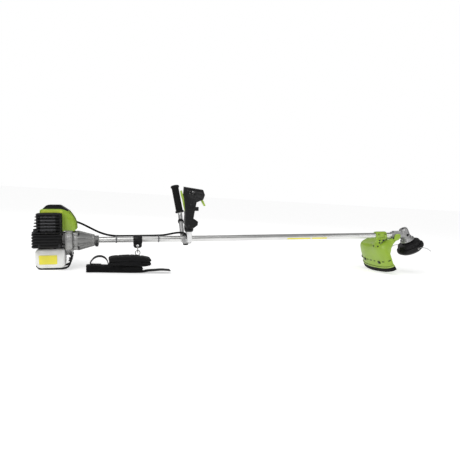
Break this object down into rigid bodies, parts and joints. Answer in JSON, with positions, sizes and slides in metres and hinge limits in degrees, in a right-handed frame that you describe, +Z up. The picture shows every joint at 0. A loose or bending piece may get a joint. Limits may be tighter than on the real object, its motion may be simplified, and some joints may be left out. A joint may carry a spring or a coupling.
{
  "type": "string trimmer",
  "caption": "Petrol string trimmer: rear engine with tank, straight shaft, two-arm handlebar with throttle grip, strap, lime guard and bump head.",
  "frame": {"origin": "centre of the flat foot under the fuel tank", "axes": "+X along the shaft towards the line head, +Y to the machine's left, +Z up"},
  "size_m": [1.8015, 0.4816, 0.4183],
  "materials": {
    "lime_plastic": "glossy lime plastic",
    "black_plastic": "moulded black plastic",
    "black_rubber": "black rubber",
    "cast_aluminium": "cast aluminium",
    "tube_aluminium": "anodised aluminium",
    "steel": "plain steel",
    "tank_plastic": "translucent white plastic",
    "bush_plastic": "dark nylon",
    "strap_webbing": "woven black webbing",
    "pad_fabric": "padded black fabric",
    "line_nylon": "clear nylon line"
  },
  "bodies": {
    "root": {"engine_cover": "lime_plastic", "guard": "lime_plastic", "guard_bracket": "lime_plastic", "muffler_cover": "black_plastic", "top_cap": "black_plastic", "air_filter_cover": "black_plastic", "tank_stand": "black_plastic", "starter_housing": "black_plastic", "hanger_clamp": "black_plastic", "guard_skirt": "black_plastic", "ignition_coil": "black_plastic", "throttle_cable": "black_rubber", "crankcase_rear": "cast_aluminium", "crankcase_front": "cast_aluminium", "cylinder": "cast_aluminium", "clutch_housing": "cast_aluminium", "handlebar_clamp": "cast_aluminium", "gear_case": "cast_aluminium", "carburettor": "cast_aluminium", "shaft_tube": "tube_aluminium", "muffler": "steel", "spark_plug": "steel", "line_cutter": "steel", "fuel_tank": "tank_plastic", "shaft_bushings": "bush_plastic"},
    "crank": {"crankshaft": "steel", "flywheel": "cast_aluminium", "clutch_shoes": "steel"},
    "piston_group": {"piston": "cast_aluminium", "connecting_rod": "steel"},
    "driveline": {"clutch_drum": "steel", "drive_shaft": "steel", "input_pinion": "steel"},
    "line_head": {"output_gear": "steel", "head_housing": "black_plastic", "head_cover": "black_plastic", "spool": "bush_plastic", "trimmer_line": "line_nylon"},
    "knob": {"bump_knob": "black_plastic"},
    "rope_pulley": {"starter_pulley": "black_plastic"},
    "rope_handle": {"starter_handle": "black_plastic"},
    "throttle_lever": {"throttle_arm": "steel"},
    "choke": {"choke_lever": "black_plastic"},
    "primer": {"primer_bulb": "black_rubber"},
    "tank_cap": {"fuel_cap": "black_plastic"},
    "handlebar": {"left_arm": "tube_aluminium", "right_arm": "tube_aluminium", "left_grip": "black_rubber", "handle_left": "black_plastic", "handle_right": "black_plastic", "handle_cable": "black_rubber"},
    "trigger": {"throttle_trigger": "lime_plastic"},
    "lock_lever": {"throttle_lock": "lime_plastic"},
    "start_knob": {"start_button": "black_plastic"},
    "switch": {"stop_switch": "black_plastic"},
    "bar_knob": {"clamp_knob": "black_plastic"},
    "ring": {"hanger_ring": "steel"},
    "harness": {"strap_hook": "steel", "strap_webbing": "strap_webbing", "shoulder_pad": "pad_fabric"}
  },
  "joints": [
    {"name": "crank_spin", "type": "hinge", "parent": "root", "child": "crank", "pos_m": [0.05, 0, 0.11], "axis": [1, 0, 0], "continuous": true},
    {"name": "piston_stroke", "type": "slide", "parent": "root", "child": "piston_group", "axis": [0, 0, 1], "range_m": [0, 0.032]},
    {"name": "head_spin", "type": "hinge", "parent": "root", "child": "line_head", "pos_m": [1.64, 0, 0.11], "axis": [0.454, 0, -0.891], "continuous": true},
    {"name": "driveline_spin", "type": "hinge", "parent": "root", "child": "driveline", "pos_m": [1, 0, 0.11], "axis": [1, 0, 0], "continuous": true},
    {"name": "bump_knob_press", "type": "slide", "parent": "line_head", "child": "knob", "axis": [-0.454, 0, 0.891], "range_m": [0, 0.005], "stiffness_N_per_m": 600},
    {"name": "starter_pulley_turn", "type": "hinge", "parent": "root", "child": "rope_pulley", "pos_m": [-0.056, 0, 0.11], "axis": [-1, 0, 0], "range_deg": [0, 1400], "stiffness_Nm_per_rad": 0.002},
    {"name": "starter_pull", "type": "slide", "parent": "root", "child": "rope_handle", "axis": [0, 1, 0], "range_m": [0, 0.46]},
    {"name": "throttle_squeeze", "type": "hinge", "parent": "handlebar", "child": "trigger", "pos_m": [0.56, -0.2175, 0.30051], "axis": [0, 0.9964, 0.0852], "range_deg": [0, 20], "stiffness_Nm_per_rad": 0.4},
    {"name": "throttle_lever_turn", "type": "hinge", "parent": "root", "child": "throttle_lever", "pos_m": [0.018, 0.0625, 0.168], "axis": [1, 0, 0], "range_deg": [0, 60]},
    {"name": "throttle_lock_press", "type": "hinge", "parent": "handlebar", "child": "lock_lever", "pos_m": [0.508, -0.21248, 0.24172], "axis": [0, 0.9964, 0.0852], "range_deg": [0, 8], "stiffness_Nm_per_rad": 0.5},
    {"name": "start_button_press", "type": "slide", "parent": "handlebar", "child": "start_knob", "axis": [-1, 0, 0], "range_m": [0, 0.003], "stiffness_N_per_m": 400},
    {"name": "stop_switch_slide", "type": "slide", "parent": "handlebar", "child": "switch", "axis": [1, 0, 0], "range_m": [0, 0.006]},
    {"name": "choke_turn", "type": "hinge", "parent": "root", "child": "choke", "pos_m": [-0.038, 0.073, 0.152], "axis": [1, 0, 0], "range_deg": [0, 60]},
    {"name": "primer_press", "type": "slide", "parent": "root", "child": "primer", "axis": [0, 0, 1], "range_m": [0, 0.004], "stiffness_N_per_m": 300},
    {"name": "fuel_cap_turn", "type": "hinge", "parent": "root", "child": "tank_cap", "pos_m": [-0.014, 0.06, 0.048], "axis": [0, 1, 0], "continuous": true},
    {"name": "handlebar_tilt", "type": "hinge", "parent": "root", "child": "handlebar", "pos_m": [0.545, 0, 0.112], "axis": [0, 1, 0], "range_deg": [-20, 20]},
    {"name": "clamp_knob_turn", "type": "hinge", "parent": "root", "child": "bar_knob", "pos_m": [0.545, 0, 0.09], "axis": [0, 0, 1], "continuous": true},
    {"name": "hanger_ring_swing", "type": "hinge", "parent": "root", "child": "ring", "pos_m": [0.34, 0, 0.083], "axis": [0, 1, 0], "range_deg": [-30, 30]},
    {"name": "strap_swing", "type": "hinge", "parent": "ring", "child": "harness", "pos_m": [0.34, 0, 0.053], "axis": [1, 0, 0], "range_deg": [-45, 15]}
  ],
  "couplings": [
    {"joint": "driveline_spin", "follows": "head_spin", "ratio": 1.3333},
    {"joint": "starter_pull", "follows": "starter_pulley_turn", "m_per_rad": 0.018},
    {"joint": "throttle_lever_turn", "follows": "throttle_squeeze", "ratio": 3}
  ]
}
